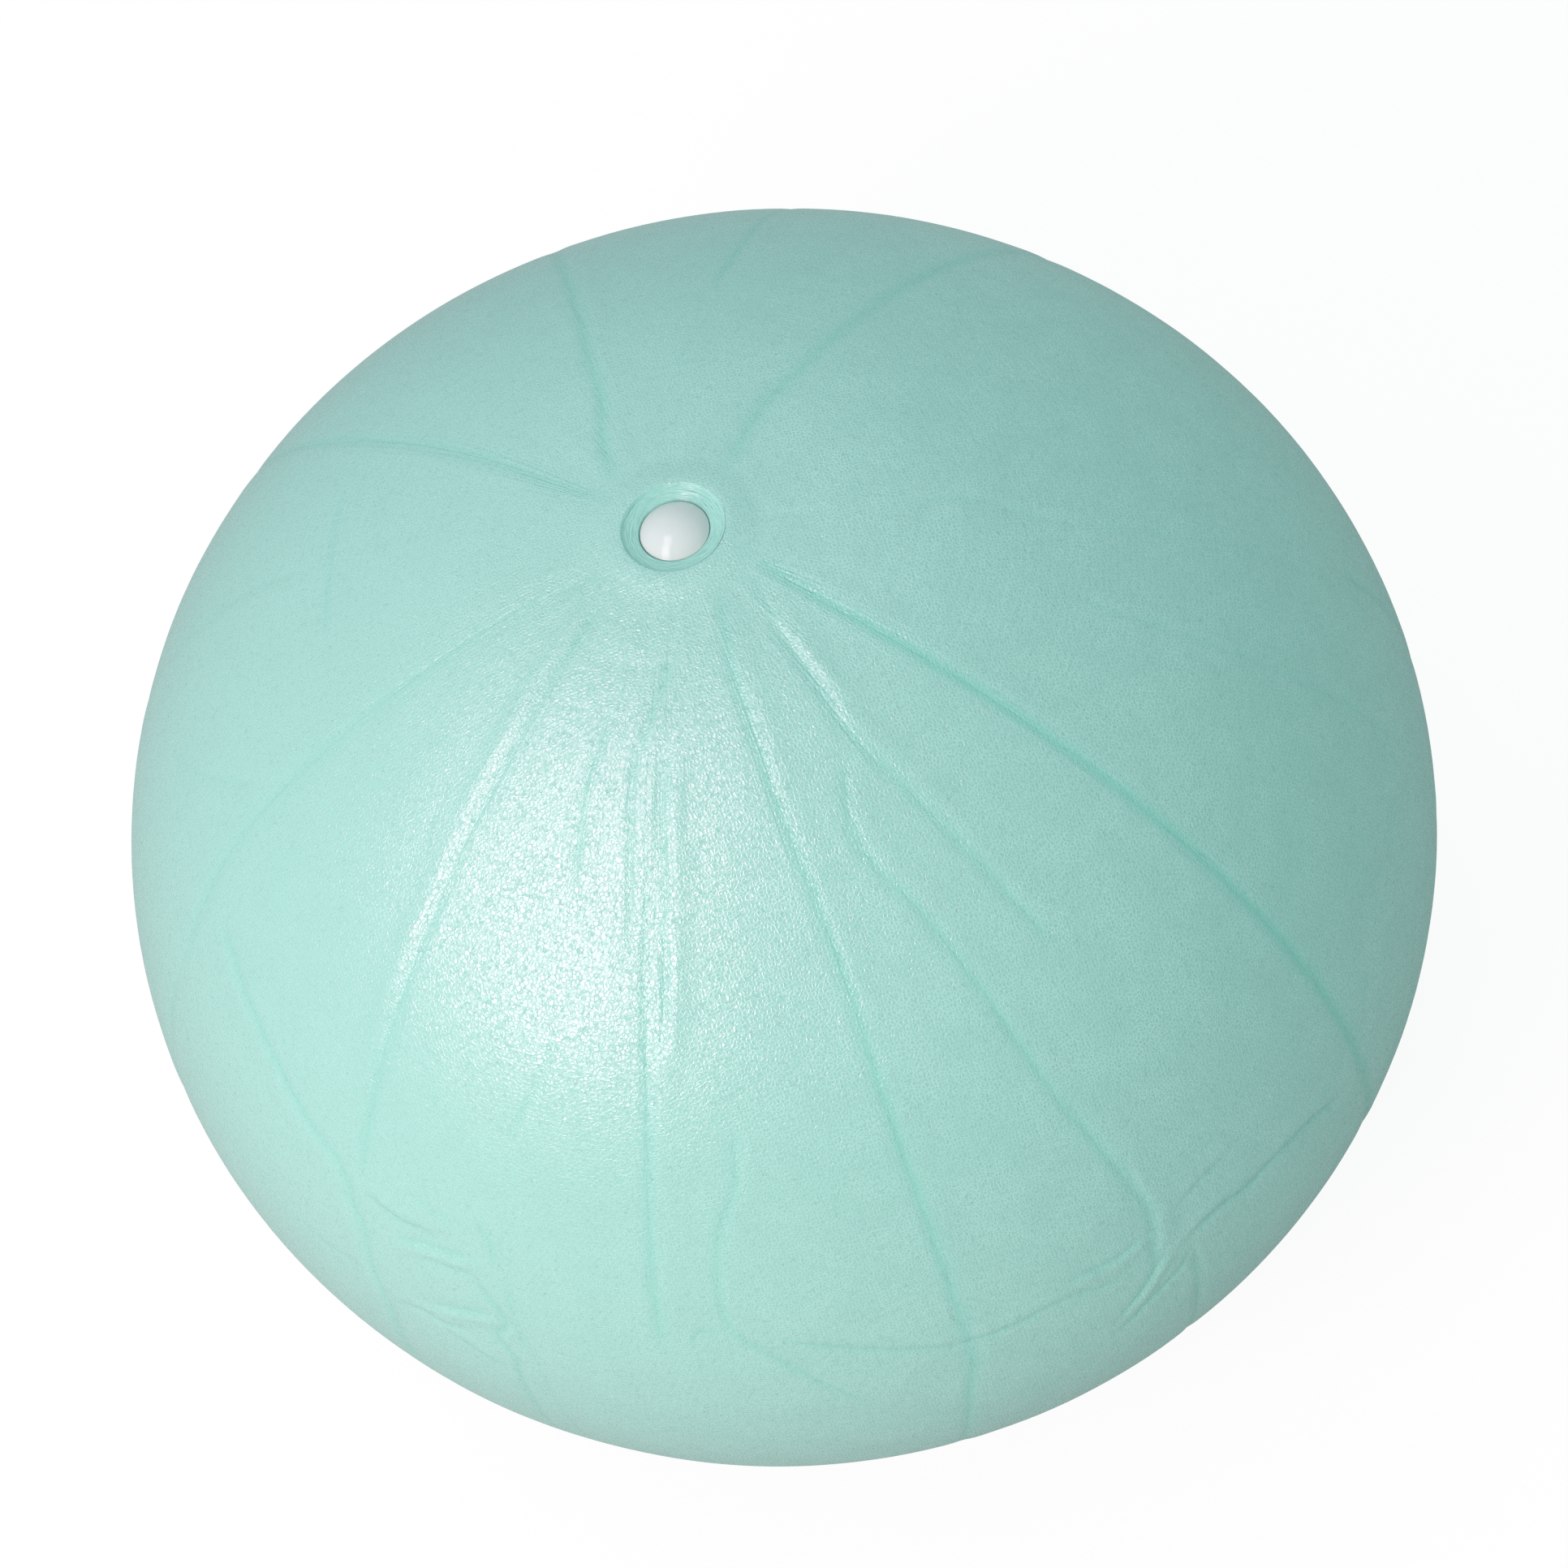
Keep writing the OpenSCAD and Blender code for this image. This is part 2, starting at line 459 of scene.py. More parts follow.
# %% [markdown]
# The hidden half repeats what the seen half shows: long folds about twenty-five degrees apart, and crossed
# folds where they meet the middle. A small function writes one such star from the place of its centre.

# %% Folds on the far side
# Azimuth, first turn and last turn of each long fold; turn and azimuth of each star; all in degrees
FAR_LONG = [(12, 74, 112), (67, 96, 118), (155, 90, 116), (-8, 60, 112), (105, 70, 110)]
FAR_STARS = [(84, 40), (79, 92), (86, 131), (80, 13), (82, 158)]
# Depth, width and crest in mm, and painted crease shade
FAR_LONG_SIZES = (0.26, 1.2, 0.05, 0.5)
FAR_STAR_SIZES = (0.2, 0.9, 0.06, 0.3)
# Both ends of each arm of a star, from its centre: turn, azimuth, turn, azimuth
STAR_ARMS = [(-1.5, -7, 2, 6), (3, -6, -4, 7), (-7, -2, 8, 1.5), (5, 1, 14, 2)]
ARM_BEND = 0.8


def star(turn, azimuth):
    """Short folds that cross near one place."""
    made = []
    for a, b, c, d in STAR_ARMS:
        middle = (turn + (a + c) / 2 + ARM_BEND, azimuth + (b + d) / 2)
        made.append((*FAR_STAR_SIZES, [(turn + a, azimuth + b), middle, (turn + c, azimuth + d)]))
    return made


far_folds = []
for azimuth, start, end in FAR_LONG:
    middle = ((start + end) / 2, azimuth + 1.5)
    far_folds.append((*FAR_LONG_SIZES, [(start, azimuth), middle, (end, azimuth - 0.5)]))
for turn, azimuth in FAR_STARS:
    far_folds.extend(star(turn, azimuth))
folds = [*LONG_FOLDS.values(), *SLIGHT_FOLDS.values(), *CROSS_FOLDS.values(), *far_folds]
print(len(folds), "folds in all")

# %% [markdown]
# The folds become one mesh of thin lines lying on the skin. A smooth curve goes through each fold's places,
# and then wanders a little from side to side, because a crease in vinyl is never drawn with a ruler. The
# points carry what the pressing needs: which fold they belong to, the depth there, which comes and goes and
# fades to nothing at both ends, the width, the crest, the painted crease shade and the way along.

# %% Fold lines
FOLD_STEP = 0.0010
FADE_LENGTH, FADE_SHARE = 0.009, 0.4
VALVE_FADE = 0.011
VALVE_TURN = 9
WANDER = 0.00014
WANDER_LENGTHS = (0.021, 0.011, 0.006)
SWELL = 0.22
SWELL_LENGTHS = (0.034, 0.019, 0.009)
SPECIAL_KINDS = {"fold": ("INT", "value"), "along": ("FLOAT_VECTOR", "vector")}
rng = np.random.default_rng(7)


def smooth_route(places, steps=24):
    """A Catmull-Rom curve through the (turn, azimuth) places."""
    p = np.array(places, float)
    p = np.vstack([2 * p[0] - p[1], p, 2 * p[-1] - p[-2]])
    t = np.linspace(0, 1, steps, endpoint=False)[:, None]
    runs = []
    for a, b, c, d in zip(p, p[1:], p[2:], p[3:]):
        cubic = 3 * b - a - 3 * c + d
        square = 2 * a - 5 * b + 4 * c - d
        runs.append(0.5 * (2 * b + (c - a) * t + square * t ** 2 + cubic * t ** 3))
    return np.vstack([*runs, p[-2:-1]])


def waves(at, lengths):
    """A wandering number along a line, between about -1 and 1, from sines with random starts."""
    starts = rng.uniform(0, 2 * math.pi, len(lengths))
    return sum(np.sin(2 * math.pi * at / n + a) for n, a in zip(lengths, starts)) / len(lengths)


def fold_line(places):
    """Evenly spaced points of a fold on the skin, the way along it, and the length to each point."""
    route = smooth_route(places)
    points = slack(skin_point(route[:, 0], route[:, 1]))
    run = np.concatenate([[0], np.cumsum(np.linalg.norm(np.diff(points, axis=0), axis=1))])
    at = np.linspace(0, run[-1], max(5, round(run[-1] / FOLD_STEP) + 1))
    points = np.stack([np.interp(at, run, points[:, k]) for k in range(3)], -1)
    along = np.gradient(points, axis=0)
    along /= np.linalg.norm(along, axis=1)[:, None]
    outward = points - np.array([0, 0, SIDE_R])
    outward /= np.linalg.norm(outward, axis=1)[:, None]
    points = points + np.cross(outward, along) * (WANDER * waves(at, WANDER_LENGTHS))[:, None]
    along = np.gradient(points, axis=0)
    return points, along / np.linalg.norm(along, axis=1)[:, None], at


def fold_mesh(folds):
    """One object with every fold as a line of edges, and its numbers as point attributes."""
    points, edges = [], []
    table = {"fold": [], "depth": [], "width": [], "crest": [], "stain": [], "along": []}
    for number, (depth, width, crest, stain, places) in enumerate(folds):
        line, along, at = fold_line(places)
        first = VALVE_FADE if places[0][0] < VALVE_TURN else FADE_LENGTH
        longest = at[-1] * FADE_SHARE
        fade = np.minimum(at / min(first, longest), (at[-1] - at) / min(FADE_LENGTH, longest))
        fade = np.clip(fade, 0, 1)
        fade = fade * fade * (3 - 2 * fade)
        swell = 1 + SWELL * waves(at, SWELL_LENGTHS)
        edges.extend((len(points) + i, len(points) + i + 1) for i in range(len(line) - 1))
        points.extend(line.tolist())
        table["fold"].extend([number] * len(line))
        table["depth"].extend(depth * MM * fade * swell)
        table["width"].extend([width * MM] * len(line))
        table["crest"].extend(crest * MM * fade * swell)
        table["along"].extend(along)
        table["stain"].extend(stain * fade)
    mesh = bpy.data.meshes.new("fold_lines")
    mesh.from_pydata(points, edges, [])
    for name, values in table.items():
        kind, field = SPECIAL_KINDS.get(name, ("FLOAT", "value"))
        layer = mesh.attributes.new(name, kind, "POINT")
        layer.data.foreach_set(field, np.array(values).ravel())
    made = bpy.data.objects.new("fold_lines", mesh)
    bpy.context.scene.collection.objects.link(made)
    return made


fold_lines = fold_mesh(folds)
fold_points = np.array([v.co for v in fold_lines.data.vertices])
print("fold lines:", len(fold_points), "points,", round(len(fold_points) * FOLD_STEP, 2), "m of crease")

# %% [markdown]
# ## The skin
#
# The skin is turned first, as a thin closed shell: up the outside, over the lip of the valve hole and down
# the inside. Its mesh is then made finer only along the folds, because a crease two millimetres wide needs
# points less than a millimetre apart, and the smooth panels between do not. New points land on the straight
# edges, so they are put back on the true arcs. Two panels near the front folds are slack and sink in a
# little, and then the whole ball takes its slack oval.

# %% Turned skin, finer along the folds
HOLE_R = 0.0092
LIP_R, LIP_STEPS = 0.0002, 5
SKIN_COLUMNS = 256
SKIN_CELL = 0.003
FOOT_STEPS = 6
# The inner face is out of sight: it is coarse, and lies deeper than any fold or slack panel
INNER_GAP, INNER_TURN, INNER_STEPS = 0.0035, 0.16, 16
UNDER_R, UNDER_DROP = 0.0155, 0.0008
COLLAR_R = 0.026
COLLAR_CELL = 0.0011
# Wide dent round the valve, and the low mound in it that carries the dish: depth or height, and reach
DENT, DENT_R = 0.0005, 0.050
MOUND, MOUND_R = 0.0005, 0.0158
REFINE = [0.0052, 0.0027]
# Slack panels between the folds: turn and azimuth of the middle in degrees, reach and depth
FLATS = [(29, -128, 0.027, 0.0022), (33, -97, 0.022, 0.0012)]
# The attribute "outer" is 1 on the outside and 0 inside, and above this value a point counts as outside
ON_OUTSIDE = 0.99


def skin_outline():
    """Section of the shell from the middle of the foot, over the lip, to the middle of the foot inside."""
    lip_turn = math.asin((HOLE_R + LIP_R) / CROWN_R)
    collar_turn = math.asin(COLLAR_R / CROWN_R)
    side_steps = round(SIDE_R * (math.pi - CROWN_TURN) / SKIN_CELL)
    crown_steps = round(CROWN_R * (CROWN_TURN - collar_turn) / SKIN_CELL)
    collar_steps = round(CROWN_R * (collar_turn - lip_turn) / COLLAR_CELL)
    side = np.linspace(math.pi, CROWN_TURN, side_steps, endpoint=False)[1:]
    crown = np.linspace(CROWN_TURN, collar_turn, crown_steps, endpoint=False)
    collar = np.linspace(collar_turn, lip_turn, collar_steps)
    foot = [(r, 0.0) for r in np.linspace(0, FOOT_R, FOOT_STEPS)]
    outside = [tuple(map(float, section(t))) for t in [*side, *crown, *collar]]
    lip_centre = (outside[-1][0], outside[-1][1] - LIP_R)
    lip = arc(lip_centre, LIP_R, 90, 180, LIP_STEPS)[1:]
    under_z = TOP_Z - SKIN_T - DENT
    under = [(HOLE_R, under_z), (UNDER_R, under_z - MOUND - UNDER_DROP)]
    inner_turns = np.linspace(INNER_TURN, math.pi, INNER_STEPS)
    inside = [tuple(map(float, section(t, INNER_GAP))) for t in inner_turns]
    return [*foot, *outside, *lip, *under, *inside, (0.0, INNER_GAP)], len(foot) + len(outside) + len(lip)


outline, outer_rows = skin_outline()
plain_skin = lathe("plain_skin", outline, SKIN_COLUMNS)
outer = plain_skin.data.attributes.new("outer", "FLOAT", "POINT")
# The first row is a single point, the middle of the foot
outer_count = 1 + (outer_rows - 1) * SKIN_COLUMNS
on_outside = np.arange(len(plain_skin.data.vertices)) < outer_count
outer.data.foreach_set("value", on_outside.astype(np.float32))
print("turned skin:", len(plain_skin.data.vertices), "points")


# %% Refinement
def refine(obj, centres, reach):
    """Halves every edge of the outer skin that lies within reach of the centres."""
    tree = kdtree.KDTree(len(centres))
    for i, p in enumerate(centres):
        tree.insert(p, i)
    tree.balance()
    bm = bmesh.new()
    bm.from_mesh(obj.data)
    layer = bm.verts.layers.float["outer"]

    def wanted(v):
        """Points of the outside near a fold, apart from the collar round the valve, which is fine already."""
        in_collar = v.co.z >= SIDE_R and v.co.xy.length <= COLLAR_R - COLLAR_CELL / 2
        return v[layer] > ON_OUTSIDE and not in_collar and tree.find(v.co)[2] < reach

    near = {v for v in bm.verts if wanted(v)}
    edges = [e for e in bm.edges if e.verts[0] in near and e.verts[1] in near]
    bmesh.ops.subdivide_edges(bm, edges=edges, cuts=1, use_grid_fill=True)
    bm.to_mesh(obj.data)
    bm.free()


def settle(obj):
    """Puts the outer points back on the arcs, sinks the slack panels, then makes the ball oval."""
    mesh = obj.data
    points = np.empty(len(mesh.vertices) * 3)
    mesh.vertices.foreach_get("co", points)
    points = points.reshape(-1, 3)
    outside = np.empty(len(points))
    mesh.attributes["outer"].data.foreach_get("value", outside)
    across = np.hypot(points[:, 0], points[:, 1])
    low = np.arctan2(across - FOOT_R, points[:, 2] - SIDE_R)
    high = np.arctan2(across, points[:, 2] - CROWN_Z)
    turn = np.where(high < CROWN_TURN, high, low)
    true_across, true_height = section(turn)
    snap = (outside > ON_OUTSIDE) & (across > FOOT_R + MM) & (across > HOLE_R + 2 * LIP_R)
    scale = np.where(snap, true_across / np.maximum(across, 1e-9), 1.0)
    points[:, :2] *= scale[:, None]
    points[:, 2] = np.where(snap, true_height, points[:, 2])
    level = points[:, :2] / np.maximum(true_across, 1e-9)[:, None]
    outward = np.column_stack([np.sin(turn)[:, None] * level, np.cos(turn)])
    for turn_deg, azimuth_deg, reach, sink in FLATS:
        gap = np.linalg.norm(points - skin_point(turn_deg, azimuth_deg), axis=1)
        points -= outward * (outside * snap * sink * np.exp(-(gap / reach) ** 2))[:, None]
    mesh.vertices.foreach_set("co", slack(points).ravel())
    mesh.update()


round_centres = []
for fold in folds:
    route = smooth_route(fold[-1])
    round_centres.extend(skin_point(route[:, 0], route[:, 1]).tolist())
for reach in REFINE:
    refine(plain_skin, round_centres, reach)
settle(plain_skin)
plain_skin.data.shade_smooth()
print("refined skin:", triangles(plain_skin.data), "triangles")

# %% [markdown]
# ## Pressing the folds in
#
# A crease is a narrow valley with a raised crest beside it, in a wider shallow dip where the panel bends
# towards it. The tree below takes the folds one at a time in a Repeat Zone. For every skin point it finds the
# nearest point of that fold, measures how far to the side it lies, and adds the fold's section to a running
# height. The painted crease shade and the distance to the crease are kept as attributes, so that the material
# can follow the same lines. After the last fold come slight lumps, puckers round the valve, and the low mound
# in a wide dent that carries the valve dish. Then the skin moves: by the folds along its normal, by the dent
# straight down.

# %% Tree that presses folds
# Half widths of the valley and of the crest, and how far to the side the crest lies, in widths of the fold
VALLEY_HALF, CREST_HALF, CREST_SIDE = 1.2, 1.7, 2.1
# How narrow the band of painted crease shade is round the line of a fold
CREASE_SHADE_SHARPNESS = 1.1
# A fold of this depth or more has crinkles at full strength within this reach
FULL_DEPTH, CRINKLE_REACH = 0.00034, 0.0032
# The thin line of a crease fades where two folds are equally near, and is full where one leads by this much
LEAD = 0.3
LUMP_SCALE, PUCKER_SCALE = 26.0, 4.0
# Distances from the axis, and heights above the floor, between which an effect comes in or goes out
PUCKER_IN, PUCKER_OUT = (0.011, 0.020), (0.020, 0.060)
HOLE_GRIP = (0.010, 0.013)
FOOT_GRIP = (0.004, 0.030)


def fold_press_tree():
    """Tree that adds up the sections of all folds and moves the skin by the sum."""
    tree = geometry_tree("fold_press", [
        ("Folds", "NodeSocketObject", None),
        ("Fold Count", "NodeSocketInt", 1),
        ("Valley", "NodeSocketFloat", 0.6),
        ("Dip", "NodeSocketFloat", 0.35),
        ("Dip Reach", "NodeSocketFloat", 6.0),
        ("Lump", "NodeSocketFloat", 0.0004),
        ("Pucker", "NodeSocketFloat", 0.0005),
        ("Dent", "NodeSocketFloat", DENT),
        ("Mound", "NodeSocketFloat", MOUND),
        ("Material", "NodeSocketMaterial", None),
    ])
    g = Wire(tree)
    given = g.node("NodeGroupInput")
    place = g.node("GeometryNodeInputPosition")
    normal = g.node("GeometryNodeInputNormal")
    lines = g.node("GeometryNodeObjectInfo", {"transform_space": "RELATIVE"},
                   {"Object": given.out("Folds")}, out="Geometry")
    start = tree.nodes.new("GeometryNodeRepeatInput")
    end = tree.nodes.new("GeometryNodeRepeatOutput")
    start.pair_with_output(end)
    tree.links.new(given.out("Fold Count").socket, start.inputs["Iterations"])
    tree.links.new(given.out("Geometry").socket, start.inputs["Geometry"])

    def stored(name, kind="FLOAT"):
        return g.node("GeometryNodeInputNamedAttribute", {"data_type": kind}, {"Name": name})

    def store(geometry, name, value):
        return g.node("GeometryNodeStoreNamedAttribute", {"data_type": "FLOAT", "domain": "POINT"},
                      {"Geometry": geometry, "Name": name, "Value": value})

    # The nearest point of this round's fold, and the distance to its side
    same = g.node("FunctionNodeCompare", {"data_type": "INT", "operation": "EQUAL"},
                  {2: stored("fold", "INT"), 3: Wire(tree, start.outputs["Iteration"])})
    line = g.node("GeometryNodeSeparateGeometry", {"domain": "POINT"}, {"Geometry": lines, "Selection": same})
    nearest = g.node("GeometryNodeSampleNearest", {"domain": "POINT"},
                     {"Geometry": line, "Sample Position": place})

    def at_fold(value, kind="FLOAT"):
        return g.node("GeometryNodeSampleIndex", {"data_type": kind, "domain": "POINT"},
                      {"Geometry": line, "Value": value, "Index": nearest})

    away = vector(g, "SUBTRACT", place, at_fold(place, "FLOAT_VECTOR"))
    along = at_fold(stored("along", "FLOAT_VECTOR"), "FLOAT_VECTOR")
    metres = vector(g, "DOT_PRODUCT", away, vector(g, "CROSS_PRODUCT", normal, along), out="Value")

    # The section of the fold: its valley, its wide dip and the crest on one side
    side = metres / at_fold(stored("width"))
    depth = at_fold(stored("depth"))
    crest = at_fold(stored("crest"))
    valley = (side / VALLEY_HALF).bell() * given.out("Valley")
    dip = (side / given.out("Dip Reach")).bell() * given.out("Dip")
    from_crest = side - crest.math("SIGN", crest) * CREST_SIDE
    lip = (from_crest / CREST_HALF).bell() * crest.math("ABSOLUTE", crest)
    change = lip - depth * (valley + dip)

    # What the material needs: the painted crease shade, and how near the nearest and the second nearest
    # crease are
    crease, near, second = stored("crease"), stored("near"), stored("second")
    stain = (side * CREASE_SHADE_SHARPNESS).bell() * at_fold(stored("stain"))
    nearness = (metres / CRINKLE_REACH).bell() * depth.math("MINIMUM", depth / FULL_DEPTH, 1.0)
    nearer = g.node("FunctionNodeCompare", {"data_type": "FLOAT", "operation": "GREATER_THAN"},
                    {0: nearness, 1: near})
    side_mm = g.node("GeometryNodeSwitch", {"input_type": "FLOAT"},
                     {"Switch": nearer, "False": stored("side_mm"), "True": metres / MM})
    runner_up = near.math("MAXIMUM", second, near.math("MINIMUM", near, nearness))
    kept = store(Wire(tree, start.outputs["Geometry"]), "press", stored("press") + change)
    # The strongest painted crease shade so far is kept as the attribute crease
    kept = store(kept, "crease", crease.math("MAXIMUM", crease, stain))
    kept = store(kept, "side_mm", side_mm)
    kept = store(kept, "second", runner_up)
    kept = store(kept, "near", near.math("MAXIMUM", near, nearness))
    tree.links.new(kept.socket, end.inputs["Geometry"])

    # After the last fold: lumps all over, and puckers that run out from the valve
    height = g.node("ShaderNodeSeparateXYZ", None, {"Vector": place}, out="Z")
    level = vector(g, "MULTIPLY", place, (1, 1, 0))
    across = vector(g, "LENGTH", level, out="Value")
    top = height.step(SIDE_R, TOP_Z)
    around_valve = across.step(*PUCKER_IN) * (1 - across.step(*PUCKER_OUT)) * top
    lump = noise(g, place, LUMP_SCALE, 1.0, 0.4)
    pucker = noise(g, vector(g, "NORMALIZE", level), PUCKER_SCALE, 2.0, 0.6)
    press = stored("press") + (lump - 0.5) * given.out("Lump")
    press = press + (pucker - 0.5) * given.out("Pucker") * around_valve

    # The folds leave the foot and the lip of the hole alone, and the skin round the hole sinks by the dent
    clear_of_hole = 1 - (1 - across.step(*HOLE_GRIP)) * top
    grip = stored("outer") * height.step(*FOOT_GRIP) * clear_of_hole
    pressed = g.node("ShaderNodeCombineXYZ", None, dict.fromkeys("XYZ", press * grip))
    mound = across.step(HOLE_R + MM, MOUND_R) * given.out("Mound")
    sink = (given.out("Dent") + mound) * (1 - across.step(MOUND_R, DENT_R)) * top * stored("outer")
    sunk = g.node("ShaderNodeCombineXYZ", None, {"Z": sink})
    shift = vector(g, "SUBTRACT", vector(g, "MULTIPLY", normal, pressed), sunk)
    # The thin line at the bottom of a crease: a bump in the material, and painted shade in its colour
    lead = (stored("near") - stored("second")).step(0.0, LEAD)
    marked = store(Wire(tree, end.outputs["Geometry"]), "groove", lead * stored("near"))
    moved = g.node("GeometryNodeSetPosition", None, {"Geometry": marked, "Offset": shift})
    real = g.node("GeometryNodeRealizeInstances", None, {"Geometry": moved})
    dressed = g.node("GeometryNodeSetMaterial", None, {"Geometry": real, "Material": given.out("Material")})
    g.node("NodeGroupOutput", None, {"Geometry": dressed})
    return tree


fold_press = fold_press_tree()
print("fold press tree:", len(fold_press.nodes), "nodes")

# %% [markdown]
# ## Vinyl with a leather grain
#
# The skin is soft satin vinyl, mint with a little grey. Its grain is moulded in: a net of light raised lines,
# about 0.7 mm apart, round small polished hollows. Each hollow leans its own way and catches a glint of its
# own. Two Voronoi textures give the nearest hollow and the next one, and the distance of a point to the wall
# between them draws the net. It is measured along the skin, because the cells are solid and the skin cuts
# most of them aslant. Towards the side of the ball away from the lamps the grain is clearer: its light lines
# are painted stronger there, as painted shading of the relief where the light grazes it, and its hollows are
# deeper. In the creases the colour is deepened by painted shade, which stands in for the light that goes back
# and forth between the walls.

# %% Skin material
MINT = (0.277, 0.580, 0.513, 1)
MINT_LINE = (0.368, 0.694, 0.622, 1)
MINT_PIT = (0.262, 0.561, 0.494, 1)
# Colour of the painted shade in the creases
MINT_CREASE_SHADE = (0.190, 0.560, 0.470, 1)
GRAIN_SCALE = 1450.0
GRAIN_BEND = 0.0004
# Distances from the wall, in cells, over which the light line and the dull one fade and the hollow deepens
LINE_EDGE, DULL_EDGE, HOLLOW_FULL = (0.02, 0.23), (0.10, 0.32), 0.45
PIT_MM = 0.038
LEAN, MOST_STRAY = 0.16, 1.3
# The grain gets clearer in this direction, away from the lamps, between these shares of the half width, from
# this least value. There its light lines are painted shading of the relief where the light grazes it.
SHADED_SIDE = (0.94380, -0.28151, -0.17318)
CLEAR_RANGE, LEAST_CLEAR = (-0.8, 0.4), 0.3
# Colour and dullness of the grain on the side towards the lamps, where less relief shade is painted, as a
# share of the line
LIT_SIDE_TONE, LIT_SIDE_DULL = 0.32, 0.4


def blank_material(name):
    """A material without nodes, and a wire to start from."""
    made = bpy.data.materials.new(name)
    made.use_nodes = True
    made.node_tree.nodes.clear()
    return made, Wire(made.node_tree)


def new_material(name):
    """A material with only a Principled shader on its output, and a wire to start from."""
    made, w = blank_material(name)
    shader = w.node("ShaderNodeBsdfPrincipled")
    w.node("ShaderNodeOutputMaterial", None, {"Surface": shader})
    return made, w, shader.socket.node


def feed(w, shader, name, value):
    """Links a wire to an input of the shader."""
    w.tree.links.new(value.socket, shader.inputs[name])


def bump(w, height, distance, **more):
    """A normal that is tilted by a height."""
    inputs = {"Distance": distance, "Height": height, **more}
    return w.node("ShaderNodeBump", None, inputs, out="Normal")


def skin_material():
    """Mint vinyl with the net of the grain, crinkles by the folds and painted shade in the creases."""
    made, w, shader = new_material("grained_vinyl")
    place = w.node("ShaderNodeTexCoord", out="Object")
    from_middle = vector(w, "SUBTRACT", place, (0, 0, SIDE_R))

    def attribute(name):
        return w.node("ShaderNodeAttribute", {"attribute_name": name}, out="Fac")

    def hollow(feature):
        sizes = {"Vector": bent, "Scale": GRAIN_SCALE, "Randomness": 0.85}
        return w.node("ShaderNodeTexVoronoi", {"feature": feature}, sizes)

    # Net of the grain: how far a point is from the wall between its hollow and the next, along the skin
    bent = vector(w, "MULTIPLY_ADD", noise(w, place, 800.0).out("Color"), (GRAIN_BEND,) * 3, place)
    own = hollow("F1")
    centre, next_centre = own.out("Position"), hollow("F2").out("Position")
    outward = vector(w, "NORMALIZE", from_middle)
    to_next = vector(w, "NORMALIZE", vector(w, "SUBTRACT", next_centre, centre))
    halfway = vector(w, "MULTIPLY", vector(w, "ADD", next_centre, centre), (0.5, 0.5, 0.5))
    straight = vector(w, "DOT_PRODUCT", vector(w, "SUBTRACT", halfway, bent), to_next, out="Value")
    slant = vector(w, "DOT_PRODUCT", to_next, outward, out="Value")
    level_share = slant.math("MAXIMUM", 1 - slant * slant, 0.12)
    edge = straight * GRAIN_SCALE / level_share.math("SQRT", level_share)
    line = 1 - edge.step(*LINE_EDGE)
    # How far towards the side away from the lamps: there the colour of the grain carries painted relief shade
    to_side = vector(w, "DOT_PRODUCT", from_middle, SHADED_SIDE, out="Value") / BALL_R
    clear = LEAST_CLEAR + (1 - LEAST_CLEAR) * to_side.step(*CLEAR_RANGE)

    # Each hollow is round and leans its own way, so they sparkle one by one
    share = edge.math("MINIMUM", edge / HOLLOW_FULL, 1.0)
    bottom = share * (2 - share)
    chance = vector(w, "SUBTRACT", own.out("Color"), (0.5, 0.5, 0.5))
    lean = vector(w, "DOT_PRODUCT", vector(w, "SUBTRACT", bent, centre), chance, out="Value") / MM
    stray = vector(w, "DOT_PRODUCT", chance, chance, out="Value") * 4
    stray = stray.math("MINIMUM", stray, MOST_STRAY)
    relief = (LEAN * lean * stray * bottom - PIT_MM * bottom) * (0.75 + 0.25 * clear)

    # Crinkles that run down the ball from the valve, and the thin line at the bottom of each crease
    ray = vector(w, "NORMALIZE", vector(w, "MULTIPLY", place, (1, 1, 0)))
    crinkle = noise(w, vector(w, "MULTIPLY_ADD", place, (0, 0, 1.5), ray), 62.0, 3.0)
    side = attribute("side_mm")
    groove = side.math("EXPONENT", side.math("ABSOLUTE", side) * -1.9) * attribute("groove")

    # Colour and gloss
    cloud = noise(w, place, 22.0, 3.0)
    patchy = noise(w, place, 130.0).step(0.35, 0.65)
    fine = noise(w, place, 4000.0)
    # Light net lines of the grain, painted stronger away from the lamps as shading of its relief
    net = line * (0.6 + 0.4 * patchy) * clear + LIT_SIDE_TONE * (1 - clear)
    tone = mixed(w, net, MINT_PIT, MINT_LINE)
    tone = mixed(w, (cloud - 0.5) * 0.5 + 0.25, tone, MINT)
    # Painted shade deepens the colour along the creases and along the thin line at the bottom of each
    tone = mixed(w, 0.92 * attribute("crease") + 0.15 * groove, tone, MINT_CREASE_SHADE)
    feed(w, shader, "Base Color", tone)
    dull = (1 - edge.step(*DULL_EDGE)) * clear + LIT_SIDE_DULL * (1 - clear)
    feed(w, shader, "Roughness", 0.24 + 0.07 * dull + 0.12 * (fine - 0.5))
    shader.inputs["Specular IOR Level"].default_value = 1.0

    # Relief: the folded skin first, and the grain on top of it
    uneven = noise(w, place, 330.0, 1.0)
    folded = bump(w, crinkle * attribute("near") * 0.5 - groove * 0.12 + uneven * 0.09, 0.0005)
    feed(w, shader, "Normal", bump(w, relief + fine * 0.006, MM, Normal=folded))
    return made


vinyl = skin_material()
print("skin material:", len(vinyl.node_tree.nodes), "nodes")

# %% [markdown]
# Now the tree runs on the turned skin. The result takes the place of the plain shell of the frame, and moves
# with the ball.

